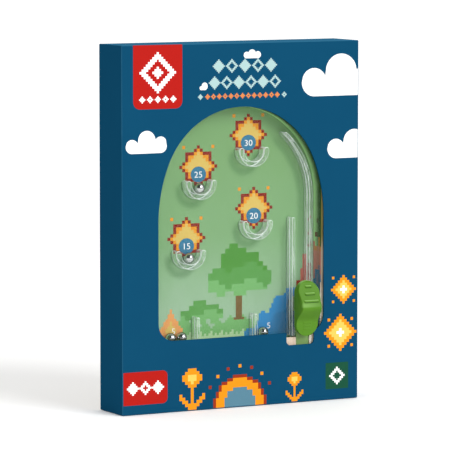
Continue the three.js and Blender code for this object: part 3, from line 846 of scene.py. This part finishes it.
def makeFrontPrint():
    front, art, raised = Print("frontPrint", carton["front"]), frontArt, {"low": 0.02, "high": 0.05}
    foldedTab(front, *art["tab"], "red")
    for cells in (diamond(8) - diamond(5), diamond(2)):
        front.squares(*art["tabMark"], banded(cells, (0, "white")), **raised)
    diamondRow(front, *art["tabRow"], "white", **raised)
    left, right, bottom, top, corner = art["badge"]  # square where it meets the carton's edge
    rounded = softRectangle(left, right, bottom, top, corner, 8)[9:27]
    front.shape([(left, top), (left, bottom)] + rounded, "red")
    diamondRow(front, *art["badgeRow"], "white", **raised)
    front.shape(softRectangle(*art["stamp"]), "pine")
    front.squares(*art["stampMark"], banded(diamond(4) - diamond(2), (0, "white")), **raised)
    for row in art["rows"]:
        diamondRow(front, *row)
    for cloud in art["clouds"]:
        front.shape(cloudOutline(*cloud), "white")
    sun = banded(lobes((0, 0, art["sunReach"])), (0, "brick"), (1, "orange"), (4, "slate"))
    x, z, pitch = art["sun"]
    front.squares(x, z, pitch, {place: ink for place, ink in sun.items() if place[1] >= 0})
    for i, spark in enumerate(arc(x, z, art["sparkReach"], 30, 150, 6)):
        front.squares(*spark, art["sparkPitch"], {(0, 0): "orange" if i % 2 else "brick"})
    bloom = stack([0, 0, 0, 0, 0]) | stack([0, 0, 1, 2, 3, 3, 2, 1], 5)
    bloom |= {(side * (1 + step), step + up) for side in (-1, 1) for step in range(4) for up in (0, 1)}
    for flower in art["flowers"]:
        front.squares(*flower, banded(bloom, (0, "orange"), (2, "yellow")))
    for x, z, pitch, half in art["stars"]:
        bands = banded(diamond(half), (0, "orange"), (2, "yellow"), (half - 1, "white"))
        front.squares(x, z, pitch, bands)
        out = pitch * art["starSpark"]
        for side, up in ((-1, 1), (1, 1), (-1, -1), (1, -1)):
            front.squares(x + side * out, z + up * out, pitch, {(0, 0): "orange"})
    return front.make("cover", "printed_card")


makeFrontPrint()
print("front printed")


# The frame: its section is carried round the arch, and the launcher's groove is cut into its face
timber = {
    "lip": 0.3, "rim": 0.9, "backEdge": 0.2, "ledge": 3, "groove": (22.4, 46), "broken": 0.25,
    "board": 2.7, "boardEdge": 0.15, "panelEdge": 0.5,
}


def makeFrame():
    face, floor, back, ledge = game["face"], game["floor"], game["boardBack"], timber["ledge"]
    inner = roundedEdge(timber["lip"], face, 1, 1) + [(0, floor), (ledge, floor), (ledge, back)]
    outer = roundedEdge(timber["backEdge"], back, -1, -1) + roundedEdge(timber["rim"], face, -1, 1, 4)[::-1]
    rings = [atDepth(grown("recess", grow), y) for grow, y in inner]
    rings += [atDepth(grown("outside", grow), y) for grow, y in outer]
    piece = loft("gameFrame", rings, "frame", "joined")
    (left, right), (bottom, top), broken = game["slot"], timber["groove"], timber["broken"]
    slot = softRectangle(left, right, bottom, top, 0.05, 1)
    wide = softRectangle(left - broken, right + broken, bottom - broken, top, 0.05, 1)
    rings = [atDepth(wide, -12), atDepth(wide, face), atDepth(slot, face + broken), atDepth(slot, floor)]
    carve(piece, loft("tool", rings, "frame"))
    return settle(evenShading(piece), "game", "beech", "frame")


def makePlayfield():
    outline = grown("recess", timber["board"])
    board = slab("playBoard", outline, game["floor"], game["boardBack"], timber["boardEdge"], "board")
    return settle(evenShading(board), "game", "printed_board", "playfield")


def turned(name, profile, centreX, centreZ, finish, sides=32, smoothUpTo=35):
    last = 360 - 360 / sides
    rings = [atDepth(arc(centreX, centreZ, radius, 0, last, sides - 1), y) for radius, y in profile]
    return loft(name, rings, finish, smoothUpTo=smoothUpTo)


# Countersunk wood screws, their cross recesses towards the back
screws = {
    "places": [(-49, 26.7), (49, 26.7), (-39.32, 154.02), (39.32, 154.02)],
    "thread": 1.2, "core": 0.85, "pitch": 0.62, "turns": 9, "crestAt": -3.4, "rootAt": -3.1,
    "tip": [(0.15, -4.7), (0.9, -3.5)], "head": [(1.2, 2.7), (2.28, 4.02), (2.38, 4.1), (2.32, 4.2)],
    "hole": [(1.5, -1), (1.5, 2.6), (2.7, 4.5), (2.7, 6)], "cross": (1.5, 0.28), "crossFloor": 3.3,
}


def makeBack():
    front, back, edge = game["boardBack"], game["back"], timber["panelEdge"]
    panel = slab("backPanel", grown("outside"), front, back, edge, "panel")
    for i, (x, z) in enumerate(screws["places"], 1):
        carve(panel, turned("tool", screws["hole"], x, z, "panel"))
        profile = list(screws["tip"])
        for at in (k * screws["pitch"] for k in range(screws["turns"])):
            profile += [(screws["thread"], at + screws["crestAt"]), (screws["core"], at + screws["rootAt"])]
        screw = turned(f"backScrew{i}", profile + screws["head"], x, z, "plated")
        for across, up in (screws["cross"], screws["cross"][::-1]):
            slit = softRectangle(x - across, x + across, z - up, z + up, 0.05, 1)
            carve(screw, prism(slit, screws["crossFloor"], 5))
        settle(screw, "game", "screw_steel", f"back_screw_{i}")
    return settle(evenShading(panel), "game", "plywood", "back_panel")


makeFrame()
makePlayfield()
makeBack()
print("frame, board and back built")

# The board's print: a landscape of steps, and score figures on discs with stepped medallions
scenery = {
    "pitch": 1.32, "left": -49.5, "foot": 37.2, "columns": 76, "borders": (0.9, 0.8, 0.5),
    "hills": [(15, 9, 5), (40, 12, 6)], "lake": (43, 0.95, 20),
    "towers": [
        # the first, darkest tower is painted shade behind the lane rail, beside the knob
        (64, 2, 15, "night"), (68, 2, 23, "ember"), (70, 1, 28, "rose"),
        (71, 2, 34, "rose"), (73, 2, 30, "ember"),
    ],
    "embers": [(73, 37), (74, 37), (74, 38), (73, 42), (74, 42), (74, 43), (73, 48), (74, 49)],
    "crown": [(0, 0, 4.2), (-4.6, -1.4, 2.9), (4.4, -0.8, 3.0), (-1.4, 3.2, 3.0), (2.6, 2.4, 2.4)],
    "bush": [(0, 0, 2.4), (-3.2, -0.6, 1.6), (3.2, -0.4, 1.9)],
    "trunkAt": (40, 8), "crownAt": (40, 26), "bushAt": (21, 11), "shrubAt": (8, 1),
    "discs": {"25": (-21.9, 128.3), "30": (9.2, 144.6), "20": (12.6, 104.2), "15": (-29.3, 89.3)},
    "disc": (4.75, 4.35), "figure": 3.5, "starPitch": 1.8, "starLift": 4.2,
    "fives": [(-37.4, 43.0), (22.1, 42.8)], "five": 3.4, "raised": (0.02, 0.06), "overDisc": (0.05, 0.09),
}


def insideRecess(x, z):
    (radius, bottom, corner), (border, inCorner, below) = game["recess"], scenery["borders"]
    if z > game["arch"]:
        return math.hypot(x, z - game["arch"]) < radius - border
    if z < bottom + corner and abs(x) > radius - corner:
        return math.hypot(abs(x) - radius + corner, z - bottom - corner) < corner - inCorner
    return abs(x) < radius - border and z > bottom + below


# Leaves are darkest above, in stepped bands
def leafInk(i, k):
    step = (0, 1, 1, 0, -1, 0)[i // 3 % 6] * 2
    return "leaf" if k > 3 + step else "shade" if k > -4 + step else "meadow"


def landscape():
    land = {}
    for i in range(scenery["columns"]):
        hill = 4 + sum(high * math.exp(-(((i - at) / wide) ** 2)) for at, wide, high in scenery["hills"])
        hill += 0.9 * math.sin(i * 1.1)
        land.update({(i, k): "meadow" if k > 1 + (i * 7 % 5) // 2 else "mist" for k in range(int(hill))})
    shore, rise, level = scenery["lake"]
    for i in range(shore, scenery["columns"]):
        slope = min(int((i - shore) * rise + 1.6 * math.sin(i * 0.9) + 2), level)
        land.update({(i, k): "deepLake" if slope - k > 7 else "lake" for k in range(slope)})
    for first, width, height, ink in scenery["towers"]:
        low = ink if ink == "night" else "rose"
        for i in range(first, first + width):
            land.update({(i, k): low if k < height - 6 else ink for k in range(2, height)})
    land.update((place, "ember") for place in scenery["embers"])
    crown, bush = (doubled(lobes(*scenery[name])) for name in ("crown", "bush"))
    land.update(shifted(banded(stack([2] + [1] * 10), (0, "bark")), *scenery["trunkAt"]))
    land.update(shifted({(i, k): leafInk(i, k) for i, k in crown}, *scenery["crownAt"]))
    land.update(shifted({(i, k): leafInk(i, k - 3) for i, k in bush}, *scenery["bushAt"]))
    shrub = stack([5, 6, 6, 5, 5, 4, 3, 3, 2, 1, 1, 0, 0])
    land.update(shifted(banded(shrub, (0, "apricot"), (3, "sand")), *scenery["shrubAt"]))
    return land


def makeBoardPrint():
    board = Print("boardPrint", game["floor"])

    def lay(centreX, centreZ, pitch, cells):
        places = {(i, k): (centreX + i * pitch, centreZ + k * pitch) for i, k in cells}
        kept = {at: cells[at] for at, place in places.items() if insideRecess(*place)}
        board.squares(centreX, centreZ, pitch, kept)

    lay(scenery["left"], scenery["foot"], scenery["pitch"], landscape())
    star = diamond(6) | stack([4] * 9, -4)
    cells = {(-5, 6): "gold", (5, 6): "gold", **banded(star, (0, "ember"), (1, "gold"), (2, "sand"))}
    for words, (x, z) in scenery["discs"].items():
        lay(x, z + scenery["starLift"], scenery["starPitch"], cells)
        wide, high = scenery["disc"]
        disc = [(x + wide * across, z + high * up) for across, up in arc(0, 0, 1, 0, 345, 23)]
        board.shape(disc, "disc", *scenery["raised"])
        board.figures(words, x, z, scenery["figure"], "white", *scenery["overDisc"])
    for x, z in scenery["fives"]:
        board.figures("5", x, z, scenery["five"], "white", *scenery["raised"])
    return board.make("game", "printed_board")


makeBoardPrint()
print("board printed")


# Clear plastic: the plate, and the rails, posts and cups that stand on the board
clear = {
    "top": -10.2, "foot": -3.68, "rounding": 0.55,
    "plate": -0.3, "plateEdge": 0.15, "plateBack": -10.22, "plateSlot": (30, 58.5),
    "postFoot": 36.7, "tip": 49.5,
    "posts": {"divider_left": (-25.25, 50.5), "divider_right": (10.807, 50.5), "lane_rail": (34.3, 102.8)},
}


def makePlate():
    outline = grown("recess", clear["plate"])
    plate = slab("clearPlate", outline, game["face"], clear["plateBack"], clear["plateEdge"], "plate")
    carve(plate, prism(softRectangle(*game["slot"], *clear["plateSlot"], 0.1, 1), -13, -8))
    return settle(evenShading(plate), "game", "clear_plastic", "clear_cover")


def cupOutline(x, z, outer=9.2, wall=3.0):
    inner, middle, tip = outer - wall, outer - wall / 2, wall / 2
    return (
        arc(x, z, outer, 180, 360, 36)
        + arc(x + middle, z, tip, 0, 180, 10)[1:-1]
        + arc(x, z, inner, 360, 180, 30)
        + arc(x - middle, z, tip, 0, 180, 10)[1:-1]
    )


def postOutline(x, top, half=1.0):
    foot = clear["postFoot"]
    return [(x - half, foot), (x + half, foot)] + arc(x, top - half, half, 0, 180, 10)


def launchRailOutline(inner=44.3, outer=46.3, foot=38.4):
    middle, turn, arch = (inner + outer) / 2, clear["tip"], game["arch"]
    tipX, tipZ = arc(0, arch, middle, turn, turn, 1)[0]
    return (
        [(inner, foot), (outer, foot)]
        + arc(0, arch, outer, 0, turn, 40)
        + arc(tipX, tipZ, (outer - inner) / 2, turn, turn + 180, 10)[1:-1]
        + arc(0, arch, inner, turn, 0, 40)
    )


def makeMouldings():
    outlines = {name: cupOutline(x, z) for name, (x, z) in game["cups"].items()}
    outlines.update((name, postOutline(*post)) for name, post in clear["posts"].items())
    outlines["launch_rail"] = launchRailOutline()
    for node, outline in outlines.items():
        first, *rest = node.split("_")
        name = first + "".join(word.capitalize() for word in rest)
        piece = slab(name, outline, clear["top"], clear["foot"], clear["rounding"], "moulding", 4)
        settle(evenShading(piece), "game", "clear_plastic", node)


makePlate()
makeMouldings()
print("clear pieces moulded")


# The thumb knob: rings step in from its round-ended outline and rise to the ridge.
# Each rib is its place along the knob, its half width and how far it stands proud. The depths say how
# far in from the outline the outer rings lie.
knob = {
    "x": 39.5, "base": -13.8, "bottom": 37.1, "length": 30.9, "radius": 6.8, "skirt": 1.0,
    "toe": 2.4, "ridge": 8.6, "head": 3.0, "footAt": 7.014, "ridgeAt": 16.902, "headAt": 28.397,
    "edge": 1.7, "shoulder": 1.2, "shoulderRun": 3, "droop": 0.8, "ridgeSoft": 1.1,
    "ribs": [
        (19.82, 4.7, 0.8), (23.71, 3.3, 0.8), (27.6, 2.2, 0.7),
        (7.4, 2.8, 0.16), (5.7, 2.8, 0.16), (4.0, 2.6, 0.16),
    ],
    "ribEnd": 0.5, "ribSoft": (0.3, 0.75),
    "depths": [0.0, 0.02, 0.06, 0.12, 0.2, 0.3, 0.45, 0.65, 0.9, 1.2, 1.6], "innerRings": 22,
}


def softMin(first, second, width):
    share = min(max((second - first) / width / 2 + 0.5, 0), 1)
    return second + (first - second) * share - width * share * (1 - share)


def smoothStep(value, low, high):
    share = min(max((value - low) / (high - low), 0), 1)
    return share * share * (3 - 2 * share)


def knobHeight(x, z):
    plan = knob
    spine = min(max(z, plan["radius"]), plan["length"] - plan["radius"])
    deep = max(plan["radius"] - math.hypot(x, z - spine), 0)
    ridgeAt = plan["ridgeAt"]
    edge = plan["edge"] + plan["shoulder"] * smoothStep(z, ridgeAt, ridgeAt + plan["shoulderRun"])
    rounding = math.sqrt(max(0, 1 - (1 - min(deep / edge, 1)) ** 2))
    rise = plan["toe"] + (plan["ridge"] - plan["toe"]) * smoothStep(z, plan["footAt"], ridgeAt)
    past = (z - ridgeAt) / (plan["headAt"] - ridgeAt)
    fall = plan["ridge"] + (plan["head"] - plan["ridge"]) * past
    toe = plan["toe"] - plan["droop"] * (1 - min(z / plan["footAt"], 1))
    profile = max(softMin(rise, fall, plan["ridgeSoft"]) - plan["toe"] + toe, toe)
    height = plan["skirt"] + softMin(profile - plan["skirt"], plan["ridge"] * rounding, plan["edge"] / 2)
    for at, half, proud in plan["ribs"]:
        across = 1 - smoothStep(abs(x), half - plan["ribEnd"], half)
        height += proud * across * (1 - smoothStep(abs(z - at), *plan["ribSoft"]))
    return height


def stadium(radius, arcSteps=48, sideSteps=96):
    low, high = knob["radius"], knob["length"] - knob["radius"]
    sides = [low + (high - low) * i / sideSteps for i in range(1, sideSteps)]
    return (
        arc(0, high, radius, 0, 180, arcSteps)
        + [(-radius, z) for z in reversed(sides)]
        + arc(0, low, radius, 180, 360, arcSteps)
        + [(radius, z) for z in sides]
    )


def makeKnob():
    middle, base, bottom, radius = (knob[key] for key in ("x", "base", "bottom", "radius"))
    depths, count = list(knob["depths"]), knob["innerRings"]
    rest = radius - depths[-1]
    depths += [depths[-1] + rest * i / count for i in range(1, count + 1)]
    rings = [[(middle + x, base, bottom + z) for x, z in stadium(radius)]]
    for depth in depths:
        flat = stadium(radius - depth)
        rings.append([(middle + x, base - knobHeight(x, z), bottom + z) for x, z in flat])
    piece = loft("thumbKnob", rings, "green", "open", 60)
    return settle(piece, "launcher", "green_plastic", "launcher_knob")


makeKnob()
dress("launcher_slider", "paleGreen", 0.25)
print("launcher built")


# The spring: one wound wire with closed end turns
spring = {
    "x": 39.5, "y": -6.1, "bottom": 22.7, "top": 49.9, "radius": 1.95, "wire": 0.5, "turns": 13,
    "steps": 28, "sides": 12, "closed": 0.8,
}


def makeSpring():
    plan = spring
    thick, total = plan["wire"] / 2, plan["turns"] * plan["steps"]
    low, high = plan["bottom"] + thick, plan["top"] - thick
    rings = []
    for i in range(total + 1):
        around = 2 * math.pi * i / plan["steps"]
        share = (i / plan["steps"] - plan["closed"]) / (plan["turns"] - 2 * plan["closed"])
        z = low + (high - low) * min(max(share, 0), 1)
        ring = []
        for k in range(plan["sides"]):
            turn = 2 * math.pi * k / plan["sides"]
            reach = plan["radius"] + thick * math.cos(turn)
            x, y = plan["x"] + reach * math.cos(around), plan["y"] + reach * math.sin(around)
            ring.append((x, y, z + thick * math.sin(turn)))
        rings.append(ring)
    piece = loft("launchSpring", rings, "wire", smoothUpTo=60)
    settle(piece, "game", "spring_steel", "launch_spring")
    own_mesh(piece)
    return piece


balls = {
    "radius": 3, "depth": -6.9, "steps": 40,
    "centres": [(-23.08, 121.1), (-29.59, 83.05), (-40.9, 39.7), (-34.1, 39.7), (16.71, 39.7)],
}


def makeBalls():
    radius, depth, steps = balls["radius"], balls["depth"], balls["steps"]
    angles = [math.radians(180 * k / steps) for k in range(1, steps)]
    profile = [(radius * math.sin(a), depth - radius * math.cos(a)) for a in angles]
    for i, (x, z) in enumerate(balls["centres"], 1):
        ball = turned(f"ball{i}", profile, x, z, "ball", 72, 60)
        settle(ball, f"ball_{i}", "ball_steel", f"ball_{i}")


makeSpring()
makeBalls()
print("spring wound, balls in place")

# A white studio whose mirror image is dark straight ahead of the carton, and a broad key light
studio = {
    "floor": (252, 252, 251), "glow": 0.13, "reach": 6000, "below": -0.2,
    "sky": 0.75, "front": 0.03, "shadedWay": (-0.35, -0.87, 0.35), "seen": 1.1,
    "shade": (0.4, 0.65), "horizon": (-0.04, 0.08),
    "key": 2.1, "keyWidth": 34, "keyFrom": (0.42, -1.0, 0.62),
}


def makeFloor():
    glow = {"Emission Color": (1, 1, 1, 1), "Emission Strength": studio["glow"]}
    finish = Finish("paleFloor", {"Base Color": paint(*studio["floor"]), **glow}, 0.1)
    finish.feed("Roughness", finish.noise(40, 2) * 0.1 + 0.7)
    finishes["floor"] = finish.material
    signs = ((-1, -1), (1, -1), (1, 1), (-1, 1))
    corners = [(studio["reach"] * x, studio["reach"] * y, studio["below"]) for x, y in signs]
    makePiece("floor", corners, [(0, 1, 2, 3)], "floor")


def makeKeyLight():
    lamp = bpy.data.lights.new("key", "SUN")
    lamp.energy, lamp.angle = studio["key"], math.radians(studio["keyWidth"])
    holder = putInScene("key", lamp)
    holder.rotation_euler = Vector(studio["keyFrom"]).to_track_quat("Z", "Y").to_euler()


def makeSky():
    world = bpy.data.worlds.new("studio")
    world.use_nodes = True
    sky = Graph(world.node_tree)
    way = sky.node("ShaderNodeTexCoord", output="Generated")
    ahead = sky.vectors("DOT_PRODUCT", way, studio["shadedWay"], output="Value")
    diffuse = sky.node("ShaderNodeLightPath", output="Is Diffuse Ray")
    screen = sky.fade(ahead, *studio["shade"]) * sky.fade(sky.zOf(way), *studio["horizon"]) * (1 - diffuse)
    light = sky.blend(screen, (studio["sky"],) * 3 + (1,), (studio["front"],) * 3 + (1,))
    lit = sky.node("ShaderNodeBackground", inputs={0: light})
    seen = sky.node("ShaderNodeBackground", inputs={0: (1, 1, 1, 1), 1: studio["seen"]})
    direct = sky.node("ShaderNodeLightPath", output="Is Camera Ray")
    mixed = sky.node("ShaderNodeMixShader", inputs={0: direct, 1: lit, 2: seen})
    sky.connect(world.node_tree.nodes["World Output"].inputs[0], mixed)
    bpy.context.scene.world = world


# The camera, at the photograph's viewing angle
view = {
    "yaw": 28.361, "pitch": 5.572, "away": 1.942483, "aim": (-0.000315, 0.0, 0.0965),
    "lens": 276.178, "sensor": 36.0, "near": 0.05, "far": 50.0,
}


def makeCamera():
    yaw, pitch = math.radians(view["yaw"]), math.radians(view["pitch"])
    forward = Vector((math.sin(yaw) * math.cos(pitch), math.cos(yaw) * math.cos(pitch), -math.sin(pitch)))
    lens = bpy.data.cameras.new("photoCamera")
    lens.sensor_fit, lens.sensor_width, lens.lens = "HORIZONTAL", view["sensor"], view["lens"]
    lens.clip_start, lens.clip_end = view["near"], view["far"]
    camera = putInScene("photoCamera", lens)
    camera.location = Vector(view["aim"]) - forward * view["away"]
    camera.rotation_euler = (-forward).to_track_quat("Z", "Y").to_euler()
    bpy.context.scene.camera = camera


makeFloor()
makeKeyLight()
makeSky()
makeCamera()
bpy.context.scene.view_settings.view_transform = "Standard"
